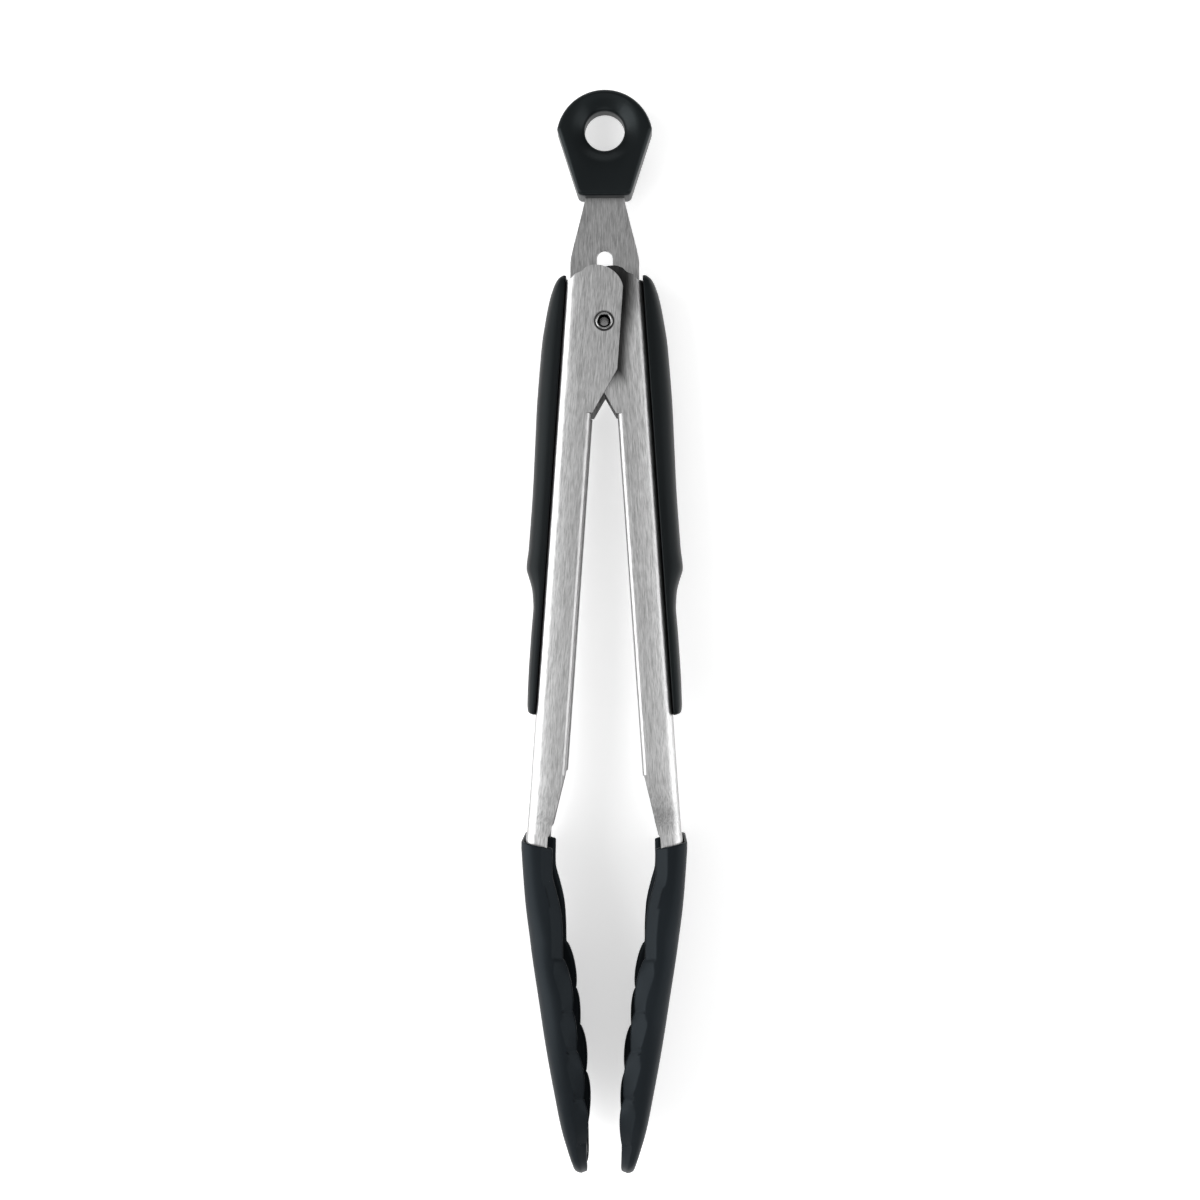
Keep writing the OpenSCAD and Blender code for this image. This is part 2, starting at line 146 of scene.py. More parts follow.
def area_light(name, where, size, power):
    """Soft rectangular light that faces the middle of the floor."""
    data = bpy.data.lights.new(name, "AREA")
    data.shape = "RECTANGLE"
    data.size, data.size_y = size
    data.energy = power
    light = bpy.data.objects.new(name, data)
    light.location = where
    light.rotation_euler = (-Vector(where)).to_track_quat("-Z", "Y").to_euler()
    SCENE.collection.objects.link(light)


def make_lights():
    world = bpy.data.worlds.new("world")
    SCENE.world = world
    world.use_nodes = True
    tree = world.node_tree
    # brightest overhead, darker beyond the tips and darkest beyond the tab end
    where = tree.nodes.new("ShaderNodeTexCoord")
    axes = tree.nodes.new("ShaderNodeSeparateXYZ")
    tree.links.new(where.outputs["Generated"], axes.inputs["Vector"])
    curve = tree.nodes.new("ShaderNodeFloatCurve")
    points = curve.mapping.curves[0].points
    for at, level in ((0.30, 0.44), (0.43, 0.88), (0.50, 0.74), (0.60, 0.40)):
        points.new(at, level)
    points[0].location = (0.0, 0.30)
    points[len(points) - 1].location = (1.0, 0.20)
    curve.mapping.update()
    half = tree.nodes.new("ShaderNodeMapRange")
    half.inputs["From Min"].default_value = -1.0
    tree.links.new(axes.outputs["Y"], half.inputs["Value"])
    tree.links.new(half.outputs["Result"], curve.inputs["Value"])
    tree.links.new(curve.outputs["Value"], tree.nodes["Background"].inputs["Strength"])
    tree.nodes["Background"].inputs["Color"].default_value = (1, 1, 1, 1)
    for light in LIGHTS:
        area_light(*light)
    SCENE.view_settings.view_transform = "Standard"


# ---- materials ----------------------------------------------------------------

class Nodes:
    """Small helper that adds and links shader nodes."""

    def __init__(self, name):
        self.mat = bpy.data.materials.new(name)
        self.mat.use_nodes = True
        self.tree = self.mat.node_tree
        self.bsdf = self.tree.nodes["Principled BSDF"]

    def add(self, kind, **values):
        node = self.tree.nodes.new(kind)
        for key, value in values.items():
            if hasattr(node, key):
                setattr(node, key, value)
            else:
                node.inputs[key.replace("_", " ")].default_value = value
        return node

    def link(self, a, out, b, into):
        self.tree.links.new(a.outputs[out], b.inputs[into])

    def coords(self, scale, angle=0.0):
        tex = self.add("ShaderNodeTexCoord")
        turn = self.add("ShaderNodeMapping")
        turn.inputs["Rotation"].default_value = (0, 0, angle)
        stretch = self.add("ShaderNodeMapping")
        stretch.inputs["Scale"].default_value = scale
        self.link(tex, "Object", turn, "Vector")
        self.link(turn, "Vector", stretch, "Vector")
        return stretch

    def placed(self, angle=0.0):
        """Position in metres from the pivot, turned about the pin by angle."""
        tex = self.add("ShaderNodeTexCoord")
        level = self.add("ShaderNodeMapping")
        level.inputs["Rotation"].default_value = (PITCH, 0, 0)
        level.inputs["Location"].default_value = -(Matrix.Rotation(PITCH, 3, "X") @ PIVOT)
        turn = self.add("ShaderNodeMapping")
        turn.inputs["Rotation"].default_value = (0, 0, angle)
        self.link(tex, "Object", level, "Vector")
        self.link(level, "Vector", turn, "Vector")
        return turn

    def fade(self, node, out, low, high, at_low, at_high):
        """Smooth step from at_low to at_high while the input goes from low to high."""
        step = self.add("ShaderNodeMapRange", interpolation_type="SMOOTHSTEP")
        for key, value in (("From Min", low), ("From Max", high), ("To Min", at_low), ("To Max", at_high)):
            step.inputs[key].default_value = value
        self.link(node, out, step, "Value")
        return step

    def times(self, tone, out, factor, part="Result"):
        """Colour output out of tone, multiplied by the output of factor that part names."""
        mix = self.add("ShaderNodeMix", data_type="RGBA", blend_type="MULTIPLY", clamp_result=False)
        mix.inputs[0].default_value = 1.0
        self.link(tone, out, mix, 6)
        self.link(factor, part, mix, 7)
        return mix

    def reach(self, place, middle, scale):
        """Distance from middle, stretched by scale."""
        shift = self.add("ShaderNodeMapping")
        shift.inputs["Location"].default_value = [-m * k for m, k in zip(middle, scale)]
        shift.inputs["Scale"].default_value = scale
        self.link(place, "Vector", shift, "Vector")
        far = self.add("ShaderNodeVectorMath", operation="LENGTH")
        self.link(shift, "Vector", far, 0)
        return far

    def ramp(self, stops):
        node = self.add("ShaderNodeValToRGB")
        elements = node.color_ramp.elements
        while len(elements) < len(stops):
            elements.new(0.5)
        for e, (at, value) in zip(elements, stops):
            e.position = at
            e.color = (*value, 1) if isinstance(value, tuple) else (value, value, value, 1)
        return node


def paint_ear_shadow(n, tone):
    """Painted shadow that the left arm's ear casts on this one, darkest along the ear's edge."""
    place = n.placed(TILT)
    across = n.add("ShaderNodeSeparateXYZ")
    n.link(place, "Vector", across, "Vector")
    edge = n.fade(across, "X", 0.0045, 0.0078, 0.10, 1.0)
    # only as far down as the ear goes
    gone = n.fade(across, "Y", -0.0170, -0.0105, 1.0, 0.0)
    edge_or_clear = n.add("ShaderNodeMath", operation="MAXIMUM")
    n.link(edge, "Result", edge_or_clear, 0)
    n.link(gone, "Result", edge_or_clear, 1)
    darkest = n.reach(place, (0.0052, 0.0075, 0), (1.0, 0.5, 0.0))
    near = n.fade(darkest, "Value", 0.0010, 0.0060, 0.45, 1.0)
    return n.times(n.times(tone, 2, edge_or_clear, "Value"), 2, near)


def brushed(name, colour, rough, angle, bend=0, shade_under_ear=False):
    """Steel with fine broken lines that run along the piece. bend is the side of the web bend, toward which
    a painted highlight brightens the faces.
    """
    n = Nodes(name)
    fine = n.add("ShaderNodeTexNoise", Scale=1.0, Detail=3.0, Roughness=0.65)
    n.link(n.coords((4300.0, 340.0, 4300.0), angle), "Vector", fine, "Vector")
    long = n.add("ShaderNodeTexNoise", Scale=1.0, Detail=3.0, Roughness=0.6)
    n.link(n.coords((3300.0, 60.0, 3300.0), angle), "Vector", long, "Vector")
    wide = n.add("ShaderNodeTexNoise", Scale=1.0, Detail=2.0, Roughness=0.5)
    n.link(n.coords((220.0, 40.0, 220.0), angle), "Vector", wide, "Vector")
    mix = n.add("ShaderNodeMix", data_type="FLOAT")
    mix.inputs[0].default_value = 0.35
    n.link(fine, "Fac", mix, 2)
    n.link(long, "Fac", mix, 3)
    both = n.add("ShaderNodeMix", data_type="FLOAT")
    both.inputs[0].default_value = 0.06
    n.link(mix, 0, both, 2)
    n.link(wide, "Fac", both, 3)
    lo = tuple(c * 0.68 for c in colour)
    hi = tuple(min(1, c * 1.28) for c in colour)
    tone, out = n.ramp([(0.37, lo), (0.5, colour), (0.63, hi)]), "Color"
    n.link(both, 0, tone, "Fac")
    if bend:
        # painted highlight: brighter toward the web, spreading the bend's reflection onto the flat faces
        across = n.add("ShaderNodeSeparateXYZ")
        n.link(n.placed(angle), "Vector", across, "Vector")
        tone, out = n.times(tone, out, n.fade(across, "X", 0.0088 * bend, 0.0042 * bend, 1.34, 1.0)), 2
        # the web itself is a little darker than the faces
        tone = n.times(tone, out, n.fade(across, "X", 0.0101 * bend, 0.0094 * bend, 0.60, 1.0))
    if bend < 0:
        # painted shade in the dimples under the rivet's rims
        hole = n.reach(n.placed(angle), (0, 0, 0), (1.0, 1.0, 0.0))
        tone = n.times(tone, out, n.fade(hole, "Value", 0.00235, 0.00270, 0.10, 1.0))
    # painted shadow of the left arm's ear on this arm
    if shade_under_ear:
        tone = paint_ear_shadow(n, tone)
    n.link(tone, out, n.bsdf, "Base Color")
    rr = n.add("ShaderNodeMapRange")
    rr.inputs["From Min"].default_value = 0.3
    rr.inputs["From Max"].default_value = 0.7
    rr.inputs["To Min"].default_value = rough - 0.06
    rr.inputs["To Max"].default_value = rough + 0.08
    n.link(mix, 0, rr, "Value")
    n.link(rr, "Result", n.bsdf, "Roughness")
    n.bsdf.inputs["Metallic"].default_value = 1.0
    bump = n.add("ShaderNodeBump", Strength=0.12, Distance=0.00003)
    n.link(mix, 0, bump, "Height")
    n.link(bump, "Normal", n.bsdf, "Normal")
    return n.mat


def soft(name, colour, rough, shine, tint, grain=1800.0, bump_strength=0.22, mottle=0.16):
    """Matte rubber or silicone with a fine moulded grain and slight unevenness."""
    n = Nodes(name)
    grain_tex = n.add("ShaderNodeTexNoise", Scale=1.0, Detail=4.0, Roughness=0.6)
    n.link(n.coords((grain, grain, grain)), "Vector", grain_tex, "Vector")
    cloud = n.add("ShaderNodeTexNoise", Scale=1.0, Detail=4.0, Roughness=0.55)
    n.link(n.coords((70.0, 28.0, 70.0)), "Vector", cloud, "Vector")
    tone = n.ramp([(0.3, tuple(c * (1 - mottle) for c in colour)), (0.5, colour),
                   (0.72, tuple(c * (1 + mottle) for c in colour))])
    n.link(cloud, "Fac", tone, "Fac")
    n.link(tone, "Color", n.bsdf, "Base Color")
    rr = n.add("ShaderNodeMapRange")
    rr.inputs["To Min"].default_value = rough - 0.09
    rr.inputs["To Max"].default_value = rough + 0.09
    n.link(cloud, "Fac", rr, "Value")
    n.link(rr, "Result", n.bsdf, "Roughness")
    bump = n.add("ShaderNodeBump", Strength=bump_strength, Distance=0.00005)
    n.link(grain_tex, "Fac", bump, "Height")
    n.link(bump, "Normal", n.bsdf, "Normal")
    n.bsdf.inputs["Specular IOR Level"].default_value = shine
    n.bsdf.inputs["Specular Tint"].default_value = (*tint, 1)
    return n.mat


def bright_wire(name, colour, rough, scale, bore=None):
    """Bright steel with fine drawn or turned lines, with painted shade inside the bore."""
    n = Nodes(name)
    lines = n.add("ShaderNodeTexNoise", Scale=1.0, Detail=3.0, Roughness=0.6)
    n.link(n.coords(scale), "Vector", lines, "Vector")
    tone = n.ramp([(0.35, tuple(c * 0.7 for c in colour)), (0.65, colour)])
    n.link(lines, "Fac", tone, "Fac")
    out = "Color"
    # painted shade inside the rivet's bore
    if bore:
        far = n.reach(n.placed(), (0, 0, 0), (1.0, 1.0, 0.0))
        tone, out = n.times(tone, out, n.fade(far, "Value", bore, bore + 0.00035, 0.10, 1.0)), 2
    n.link(tone, out, n.bsdf, "Base Color")
    n.bsdf.inputs["Metallic"].default_value = 1.0
    n.bsdf.inputs["Roughness"].default_value = rough
    bump = n.add("ShaderNodeBump", Strength=0.15, Distance=0.00003)
    n.link(lines, "Fac", bump, "Height")
    n.link(bump, "Normal", n.bsdf, "Normal")
    return n.mat


# ---- mesh helpers -------------------------------------------------------------

def mesh_object(name, bm, matrix, mat, angle=40.0):
    bmesh.ops.remove_doubles(bm, verts=bm.verts, dist=1e-5)
    bm.transform(matrix)
    bmesh.ops.recalc_face_normals(bm, faces=bm.faces)
    me = bpy.data.meshes.new(name)
    bm.to_mesh(me)
    bm.free()
    for p in me.polygons:
        p.use_smooth = True
    me.set_sharp_from_angle(angle=math.radians(angle))
    me.materials.append(mat)
    obj = bpy.data.objects.new(name, me)
    SCENE.collection.objects.link(obj)
    return obj


def loft(bm, loops, cap_first=True, cap_last=True):
    """Skins equal loops of points. Caps are strips between the loop's two halves."""
    rows = [[bm.verts.new(p) for p in loop] for loop in loops]
    n = len(rows[0])
    for a, b in zip(rows, rows[1:]):
        for j in range(n):
            k = (j + 1) % n
            bm.faces.new((a[j], a[k], b[k], b[j]))
    for row, wanted in ((rows[0], cap_first), (rows[-1], cap_last)):
        if wanted:
            for j in range(n // 2 - 1):
                quad = (row[j], row[n - 1 - j], row[n - 2 - j], row[j + 1])
                bm.faces.new(list(dict.fromkeys(quad)))


def lookup(x, table):
    """Smooth curve through (x, value) pairs given in rising x."""
    if x <= table[0][0]:
        return table[0][1]
    if x >= table[-1][0]:
        return table[-1][1]
    i = next(k for k in range(len(table) - 1) if table[k][0] <= x <= table[k + 1][0])

    def slope(k):
        if k in (0, len(table) - 1):
            a, b = (0, 1) if k == 0 else (k - 1, k)
            return (table[b][1] - table[a][1]) / (table[b][0] - table[a][0])
        d0 = (table[k][1] - table[k - 1][1]) / (table[k][0] - table[k - 1][0])
        d1 = (table[k + 1][1] - table[k][1]) / (table[k + 1][0] - table[k][0])
        if d0 * d1 <= 0:
            return 0.0
        return 2 * d0 * d1 / (d0 + d1)

    h = table[i + 1][0] - table[i][0]
    t = (x - table[i][0]) / h
    return ((2 * t ** 3 - 3 * t ** 2 + 1) * table[i][1] + (t ** 3 - 2 * t ** 2 + t) * h * slope(i)
            + (-2 * t ** 3 + 3 * t ** 2) * table[i + 1][1] + (t ** 3 - t ** 2) * h * slope(i + 1))


def spaced(a, b, n):
    return [a + (b - a) * i / n for i in range(n + 1)]


def signed_pow(c, p):
    return math.copysign(abs(c) ** p, c)


# ---- heads --------------------------------------------------------------------

# along the upright arm: back of the sleeve, line through the scallop valleys, share of the widest
# half width, back corner radius and thickness of the sole
BACK = [(-212.3, 8.6), (-211.8, 7.95), (-210.9, 7.4), (-209, 6.75), (-206, 5.6), (-200.3, 3.6),
        (-191.5, 1.25), (-182.9, -0.95), (-174, -3.1), (-165.6, -5.05), (-160.5, -6.25), (-153, -7.95),
        (-145.6, -9.4), (-138, -10.55), (-131, -11.5)]
VALLEY = [(-212.3, 9.4), (-212, 9.9), (-211.6, 10.25), (-210.9, 10.5), (-210, 10.5), (-207, 10.25),
          (-203.2, 9.85), (-191.1, 8.35), (-179.3, 5.95), (-169.7, 4.2), (-157.5, 0.95), (-152.8, 0.55),
          (-147.7, -0.1), (-144.7, -0.8), (-141.6, -1.8), (-137.1, -3.2), (-131.7, -3.55)]
WIDTH = [(-207, 0.68), (-203, 0.76), (-197, 0.87), (-191, 0.94), (-183, 0.99), (-177, 1.0),
         (-169, 0.96), (-161, 0.88), (-153, 0.80), (-145, 0.745), (-137, 0.725), (-131, 0.725)]
CORNER = [(-213, 1.6), (-205, 3), (-195, 5.5), (-180, 7.2), (-165, 6.5), (-150, 4.6), (-140, 3.6),
          (-131, 3.4)]
SOLE = [(-208.5, 5.0), (-204.5, 3.2), (-200, 2.7)]
VALLEY_YS = [-157.5 - 11.45 * k for k in (0, 1.066, 1.904, 2.934, 3.991)]
LOBES = [1.2 * k for k in (1, 0.45, 0.8, 0.7)]
HEAD_HALF_W = 14.46
TOE_Y, TOE_L = -206.5, 5.7
CUFF_Y, CUFF_SLOPE = -131.0, 0.15


def lobe_part(y):
    """Number of the scallop at height y and how far along it y is, or None."""
    for k in range(4):
        if VALLEY_YS[k] > y > VALLEY_YS[k + 1]:
            return k, (VALLEY_YS[k] - y) / (VALLEY_YS[k] - VALLEY_YS[k + 1])
    return None


def scallop(y):
    at = lobe_part(y)
    return LOBES[at[0]] * math.sin(math.pi * at[1] ** 0.75) ** 0.8 if at else 0.0


def edge_x(y):
    return lookup(y, VALLEY) + scallop(y)


def smooth(x):
    x = min(1.0, max(0.0, x))
    return x * x * (3 - 2 * x)


def facet(y):
    """Width and drop of the scooped face along the free edge. It bulges out early in each scallop."""
    at = lobe_part(y)
    if not at:
        return 2.7, 1.4
    swell = smooth(at[1] / 0.3) * (1 - smooth((at[1] - 0.3) / 0.7))
    return 2.5 + 1.35 * swell, 1.7 - 0.75 * swell


def head_loop(y, inset=0.0):
    """Closed section of the sleeve at height y: outer skin, bevelled edge, inner skin."""
    back = lookup(y, BACK) + inset
    d = edge_x(y) - back - inset
    toe = 1.0 if y > TOE_Y else math.sqrt(max(0.02, 1 - ((TOE_Y - y) / (TOE_L + 0.16)) ** 2))
    w = lookup(y, WIDTH) * HEAD_HALF_W * toe - inset
    t = min(lookup(y, SOLE) - 2 * inset, d - 0.4)
    k = min(1.0, d / 3)
    tw = min(t, 0.5 * w)
    wide, drop = facet(y)
    bevel = min(drop, 0.56 * tw)
    # the back corner leaves room for the scoops and doesn't follow the scallops
    depth = max(lookup(y, VALLEY) - back - inset, 0.5)
    ro = max(min(lookup(y, CORNER) - inset, depth - min(3.5, 0.5 * depth), d - 0.1), 0.4)
    ri = max(min(lookup(y, CORNER) - inset - t, d - t - 0.1), 0.3)
    ridge = max(d - wide, ro + 0.05)
    inner_top = max(d - 2.7, t + ri + 0.05)
    half = [(d - 0.35 * k, w - 0.97 * tw), (d - 0.06 * k, w - 0.85 * tw), (d, w - 0.72 * tw),
            (d - 0.03 * k, w - bevel - 0.13 * tw), (d - 0.28 * k, w - bevel + 0.02)]
    half += [(ridge + 0.55 * k, w - 0.5 * bevel), (ridge + 0.1 * k, w - 0.04),
             (ridge - 0.25 * (ridge - ro), w)]
    half += [(ro - ro * math.sin(a), w - ro + ro * math.cos(a))
             for a in spaced(0, math.pi / 2, 8)]
    outer = [(x, -z) for x, z in half] + [(x, z) for x, z in reversed(half)]
    side = [(inner_top, w - tw)] + [(t + ri - ri * math.sin(a), w - tw - ri + ri * math.cos(a))
                                    for a in spaced(0, math.pi / 2, 8)]
    pad = len(half) - len(side)
    low = d - 0.9 * k
    side = [(low + (inner_top - low) * j / pad, w - tw + 0.02 * (1 - j / pad))
            for j in range(pad)] + side if pad > 0 else side
    inner = [(x, z) for x, z in side] + [(x, -z) for x, z in reversed(side)]
    return [Vector((back + x, y, z)) for x, z in outer + inner]


def cuff_loop(inset, drop):
    """Rim of the sleeve: slopes down toward the free edges."""
    edge = edge_x(CUFF_Y)
    return [Vector((p.x, CUFF_Y + 0.1 - drop + CUFF_SLOPE * (edge - p.x), p.z))
            for p in head_loop(CUFF_Y, inset)]


def make_head(side, name, body, mat):
    bm = bmesh.new()
    ys = spaced(CUFF_Y - 0.6, VALLEY_YS[0], 44)[:-1]
    for top, low in zip(VALLEY_YS, VALLEY_YS[1:]):
        ys += [top + (low - top) * k for k in (0, 0.03, 0.07, 0.12, 0.18, 0.25, 0.33, 0.42, 0.52, 0.62,
                                               0.72, 0.81, 0.88, 0.93, 0.97)]
    ys += spaced(VALLEY_YS[4], TOE_Y, 6)[:-1]
    ys += [TOE_Y - TOE_L * math.sin(a) for a in spaced(0, math.radians(86), 10)]
    # the rolled rim comes first and ends a little inside the pocket for the steel
    rim = [cuff_loop(0.85, 1.6), cuff_loop(0.72, 0.22), cuff_loop(0.5, 0.02), cuff_loop(0.25, 0.0),
           cuff_loop(0.07, 0.1), cuff_loop(0.0, 0.35)]
    loft(bm, rim + [head_loop(y) for y in ys], cap_first=False)
    obj = mesh_object(name, bm, on_arm(side), mat, 52)
    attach(obj, body)
    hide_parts(name[:-6])


# ---- grips --------------------------------------------------------------------

# along the upright arm: how far the grip stands out, and its share of the full half width
GRIP_T = [(-98.5, 1.0), (-98.35, 1.8), (-97.8, 2.2), (-96, 2.45), (-85, 2.7), (-79, 2.7),
          (-72.6, 2.6), (-70, 2.85), (-68, 3.15), (-66, 3.75), (-64.3, 4.4), (-62.6, 5.0),
          (-61.8, 5.08), (-57, 4.85), (-45, 4.8), (-32, 5.05), (-20, 5.3), (-7, 5.15), (0, 4.6),
          (5.6, 3.85), (8.9, 2.95), (10.3, 2.2), (10.9, 1.4)]
GRIP_W = [(-98.5, 0.84), (-98, 0.93), (-96, 0.97), (-90, 0.98), (-70, 1), (7, 1), (9.8, 0.95),
          (10.9, 0.82)]
GRIP_HALF_W = 7.4
WEB_X = 10.27
PEG_YS = (-15, -52, -90)
# radius and height above the web, along one peg and its button
PEG = ((1.6, -0.9), (1.6, 0.9), (2.35, 0.9), (2.5, 1.05), (2.5, 1.4), (2.3, 1.58), (0.02, 1.6))


def grip_loop(y):
    """Crowned section with an undercut line where the grip meets the steel."""
    t, w = lookup(y, GRIP_T), GRIP_HALF_W * lookup(y, GRIP_W)
    lip = min(0.9, 0.35 * t)
    crown = []
    n = 26
    for i in range(n + 1):
        a = math.pi * i / n
        crown.append((-(0.3 + (t - 0.3) * max(0.0, math.sin(a)) ** 0.72), -w * signed_pow(math.cos(a), 0.8)))
    groove = [(-0.3, w - 0.12), (-0.22, w - 0.42), (-0.05, w - 0.5), (-0.0, w - 0.9)]
    loop = [(-0.05, -(w - 0.5)), (-0.22, -(w - 0.42)), (-0.3, -(w - 0.12))] + crown
    loop += groove[:3]
    m = len(loop)
    base = [(0.0, z * 0.93) for _, z in reversed(loop)]
    return [Vector((-WEB_X - 0.05 + x, y, z)) for x, z in loop + base]


def make_grip(side, name, body, mat):
    bm = bmesh.new()
    ys = [10.9, 10.6, 10.3, 9.9, 9.4, 8.9] + spaced(8.2, -56, 34) + spaced(-57, -74, 34)
    ys += spaced(-75.5, -94, 12) + spaced(-94.8, -97.6, 8) + [-97.8, -98.0, -98.2, -98.35, -98.43, -98.5]
    loft(bm, [grip_loop(y) for y in ys])
    # buttons of the pegs inside the channel
    for y in PEG_YS:
        loft(bm, [[Vector((-WEB_X + x, y + r * math.cos(a), r * math.sin(a)))
                   for a in spaced(0, 2 * math.pi, 32)[:-1]] for r, x in PEG])
    obj = mesh_object(name, bm, on_arm(side), mat, 42)
    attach(obj, body)
    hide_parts(name[:-6])


# ---- pull tab -----------------------------------------------------------------

HOLE_R, HOLE_Y = 5.0, 48.7
TAB_R, TAB_DROP = 12.1, 2.2
TAB_HALF_T, TAB_EDGE_R = 4.2, 1.1


def tab_reach(a):
    """Distance from the hanging hole's centre to the tab's outline in direction a."""
    c, s = math.cos(a), math.sin(a)
    # the ring part is a circle of TAB_R whose centre is TAB_DROP below the hole's centre
    b = TAB_DROP * s
    ring = -b + math.sqrt(b * b - TAB_DROP ** 2 + TAB_R ** 2)
    if s * ring > 0.1:
        return ring
    best = ring + 5
    outline = [(11.9, 0.1), (6.9, -15.4), (6.65, -16.0), (6.1, -16.45), (5.6, -16.55), (4.8, -16.55)]
    points = outline + [(-x, y) for x, y in reversed(outline)]
    for (x0, y0), (x1, y1) in zip(points, points[1:]):
        ex, ey = x1 - x0, y1 - y0
        det = c * ey - s * ex
        if abs(det) < 1e-9:
            continue
        r = (x0 * ey - y0 * ex) / det
        k = (x0 * s - y0 * c) / det
        if r > 0 and -1e-6 <= k <= 1 + 1e-6:
            best = min(best, r)
    return best


def make_tab(mat):
    bm = bmesh.new()
    half, e = TAB_HALF_T, TAB_EDGE_R
    # dense where the neck's corners are
    angles = spaced(-math.pi / 2, math.pi * 1.5, 288)[:-1]
    rows = []
    for a in angles:
        reach = tab_reach(a)
        side = [(HOLE_R, 0.0), (HOLE_R, 1.2), (5.02, 1.9), (5.2, 2.25), (5.7, 2.7), (6.6, 3.25), (7.6, 3.75),
                (8.3, 4.02), (8.9, 4.15)]
        span = reach - e - 8.9
        if span < 0.3:
            shrink = (reach - e - HOLE_R) / (9.2 - HOLE_R)
            side = [(HOLE_R + (r - HOLE_R) * min(1, shrink), z) for r, z in side]
        side += [(side[-1][0] + (reach - e - side[-1][0]) * k, half - 0.02 * (1 - k)) for k in (0.3, 1.0)]
        side += [(reach - e + e * math.sin(b), half - e + e * math.cos(b))
                 for b in spaced(0, math.pi / 2, 6)[1:]]
        side += [(reach, 1.0)]
        profile = [(r, -z) for r, z in reversed(side[1:])] + side
        rows.append([Vector((r * math.cos(a), HOLE_Y + r * math.sin(a), z)) for r, z in profile])
    rows.append(rows[0])
    loft(bm, rows, cap_first=False, cap_last=False)
    obj = mesh_object("pull_tab_shape", bm, TONGS, mat, 38)
    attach(obj, "lock_tab")
    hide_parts("pull_tab")


# ---- rivet and spring ---------------------------------------------------------

def make_rivet(mat):
    bm = bmesh.new()
    hw = 8.0
    top = [(1.8, hw - 0.3), (2.1, hw - 0.25), (2.15, hw - 0.1), (2.15, hw + 0.05), (2.07, hw + 0.26),
           (1.94, hw + 0.37), (1.8, hw + 0.39), (1.66, hw + 0.3), (1.5, hw + 0.08), (1.28, hw - 0.3),
           (1.12, hw - 0.75), (1.1, hw - 1.4)]
    profile = [(r, -z) for r, z in reversed(top)] + [(r, z) for r, z in top]
    rows = [[Vector((r * math.cos(a), r * math.sin(a), z)) for r, z in profile]
            for a in spaced(0, 2 * math.pi, 96)]
    loft(bm, rows, cap_first=False, cap_last=False)
    obj = mesh_object("pivot_rivet_shape", bm, TONGS, mat, 50)
    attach(obj, "pivot")
    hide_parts("pivot_rivet")


WIRE_R, WIRE_SIDES = 0.6, 14
COIL_R, COIL_LOW, COIL_PITCH, COIL_TURNS = 2.75, 1.45, 1.26, 3
OUTER_LEG, INNER_LEG = (-9.35, -21.0), (9.1, -25.6)


def tangent_angle(p, s):
    return math.atan2(p[1], p[0]) + s * math.acos(COIL_R / math.hypot(*p))


def tube(bm, path, round_ends):
    """Wire along path. round_ends says which of its two ends are rounded."""
    r = WIRE_R
    rows = []
    m = len(path)
    for i, p in enumerate(path):
        d = (path[min(i + 1, m - 1)] - path[max(i - 1, 0)]).normalized()
        e = d.cross(Vector((0, 0, 1)))
        if e.length < 0.2:
            e = d.cross(Vector((1, 0, 0)))
        e.normalize()
        f = e.cross(d)
        around = [math.cos(t) * e + math.sin(t) * f for t in spaced(0, 2 * math.pi, WIRE_SIDES)[:-1]]
        if i == 0 and round_ends[0]:
            rows += [[p - d * r * math.cos(t) + r * math.sin(t) * v for v in around]
                     for t in (0.15, 0.6, 1.1)]
        rows.append([p + r * v for v in around])
        if i == m - 1 and round_ends[1]:
            rows += [[p + d * r * math.cos(t) + r * math.sin(t) * v for v in around]
                     for t in (1.1, 0.6, 0.15)]
    loft(bm, rows)


def coil_paths():
    a0 = tangent_angle(INNER_LEG, 1)
    a1 = tangent_angle(OUTER_LEG, -1)
    sweep = 2 * math.pi * COIL_TURNS + (a1 - a0)
    top = COIL_LOW + COIL_PITCH * sweep / (2 * math.pi)
    coil = []
    for k in spaced(0, 1, 150):
        a = a0 + sweep * k
        coil.append(Vector((COIL_R * math.cos(a), COIL_R * math.sin(a), COIL_LOW + (top - COIL_LOW) * k)))
    outer = [Vector((*OUTER_LEG, top)).lerp(coil[-1], 1 - k) for k in spaced(0, 1, 30)][1:]
    # inner leg with a round bend into the bridge below the plate
    end = Vector((*INNER_LEG, COIL_LOW))
    way = (end - coil[0]).normalized()
    bend_r = 1.2
    leg = [coil[0].lerp(end - way * bend_r, k) for k in spaced(0, 1, 30)][1:]
    bend = [end - way * bend_r + way * bend_r * math.sin(t) + Vector((0, 0, -bend_r * (1 - math.cos(t))))
            for t in spaced(0, math.pi / 2, 8)[1:]]
    inner = list(reversed(leg + bend + [Vector((end.x, end.y, 0.0))]))
    return inner, coil, outer, top


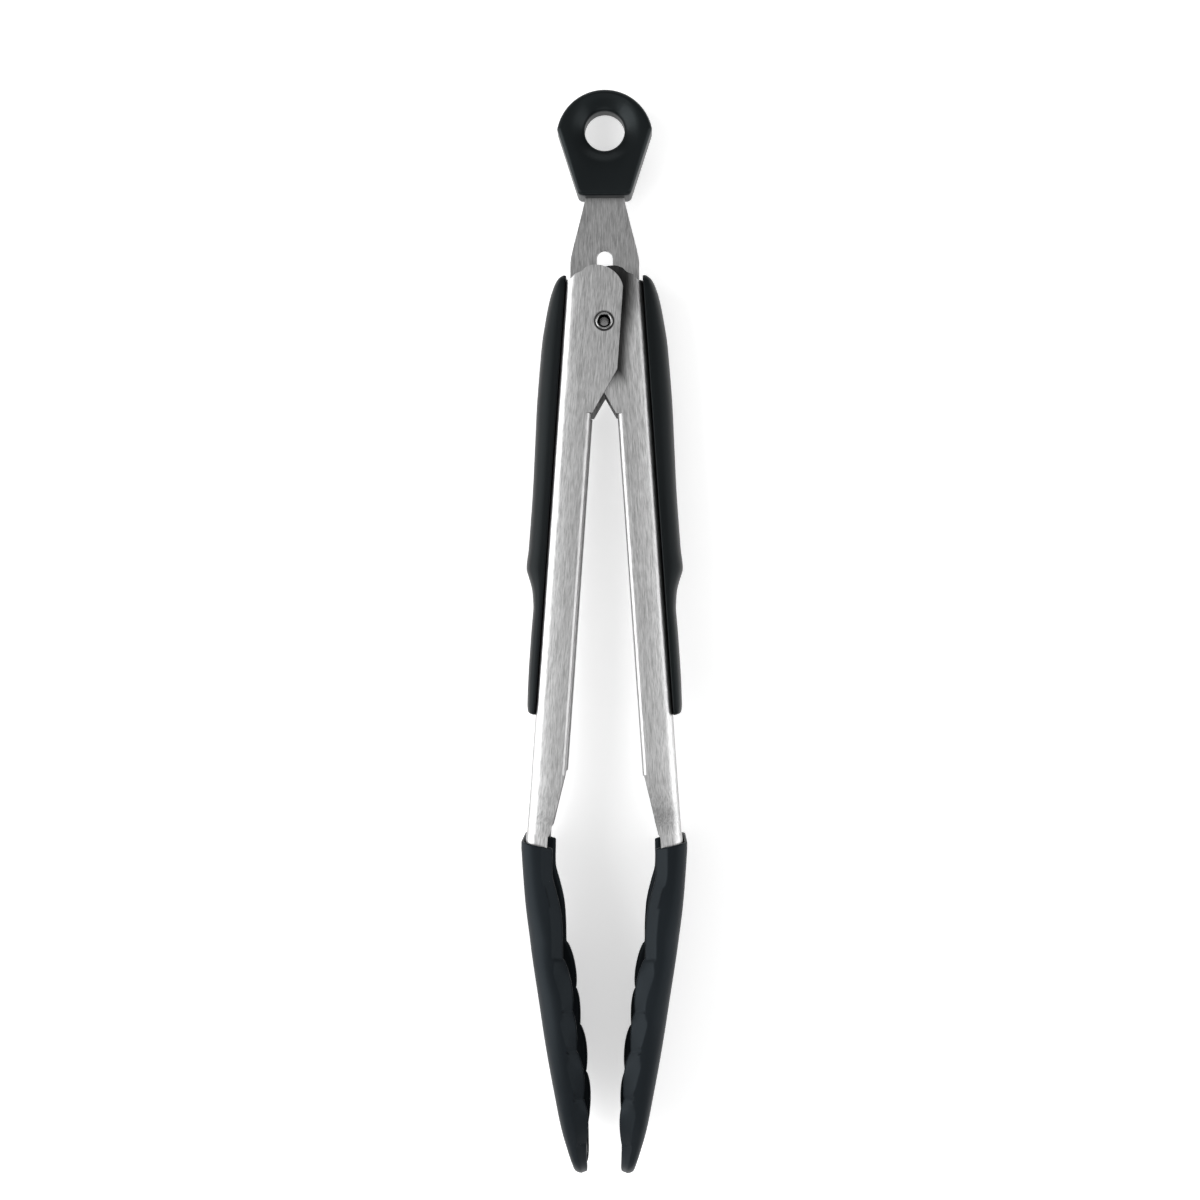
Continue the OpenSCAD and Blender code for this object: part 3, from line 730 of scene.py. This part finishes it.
def make_spring(mat):
    inner, coil, outer, top = coil_paths()
    middle = len(coil) // 2
    z_mid = coil[middle].z
    for sign, word in ((1, "upper"), (-1, "lower")):
        flip = Matrix.Scale(sign, 4, (0, 0, 1))
        parts = (("outer", coil[middle:] + outer, "left_arm_body", z_mid, top - 0.3),
                 ("inner", inner + coil[:middle + 1], "right_arm_body", z_mid, COIL_LOW + 0.02))
        for which, path, body, z0, z1 in parts:
            bm = bmesh.new()
            tube(bm, path, (False, which == "outer"))
            obj = mesh_object(f"spring_{which}_{word}", bm, TONGS @ flip, mat, 60)
            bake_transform(obj)
            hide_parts("torsion_spring")


# ---- CAD nodes that are shown as they are ---------------------------------------

def dress(node, mat, bevel):
    """Keeps the CAD mesh and adds its material, with its edges eased by modifiers."""
    obj = frame["nodes"][node]
    obj.data.materials.clear()
    obj.data.materials.append(mat)
    weld = obj.modifiers.new("weld", "WELD")
    weld.merge_threshold = 0.000002
    mod = obj.modifiers.new("soft_edge", "BEVEL")
    mod.width = bevel
    mod.segments = 2
    mod.limit_method = "ANGLE"
    mod.angle_limit = math.radians(50)
    mod.harden_normals = True
    old = obj.data.attributes.get("custom_normal")
    if old:
        obj.data.attributes.remove(old)
    for name in ("sharp_edge", "sharp_face"):
        mark = obj.data.attributes.get(name)
        if mark:
            obj.data.attributes.remove(mark)
    for face in obj.data.polygons:
        face.use_smooth = True


make_camera()
make_floor()
make_lights()
STEEL = (0.55, 0.55, 0.55)
dress("left_arm", brushed("arm_steel_left", STEEL, 0.42, TILT, -1), 0.00026)
# the right arm also gets the painted shadow of the left arm's ear
dress("right_arm", brushed("arm_steel_right", STEEL, 0.42, -TILT, 1, True), 0.00026)
dress("lock_plate", brushed("plate_steel", (0.45, 0.45, 0.45), 0.4, 0.0), 0.00012)
rubber = soft("grip_rubber", (0.0050, 0.0062, 0.0068), 0.42, 0.15, (0.86, 0.96, 1.0))
silicone = soft("head_silicone", (0.0080, 0.0102, 0.0125), 0.45, 0.17, (0.76, 0.90, 1.0),
                grain=2300.0, mottle=0.25)
make_grip(1, "left_grip_shape", "left_arm_body", rubber)
make_grip(-1, "right_grip_shape", "right_arm_body", rubber)
make_head(1, "left_head_shape", "left_arm_body", silicone)
make_head(-1, "right_head_shape", "right_arm_body", silicone)
make_tab(soft("tab_rubber", (0.0056, 0.0070, 0.0076), 0.36, 0.22, (0.84, 0.96, 1.0)))
make_rivet(bright_wire("rivet_steel", (0.46, 0.46, 0.46), 0.24, (900.0, 900.0, 4000.0), 0.00145))
make_spring(bright_wire("spring_steel", (0.55, 0.55, 0.56), 0.25, (3000.0, 900.0, 3000.0)))
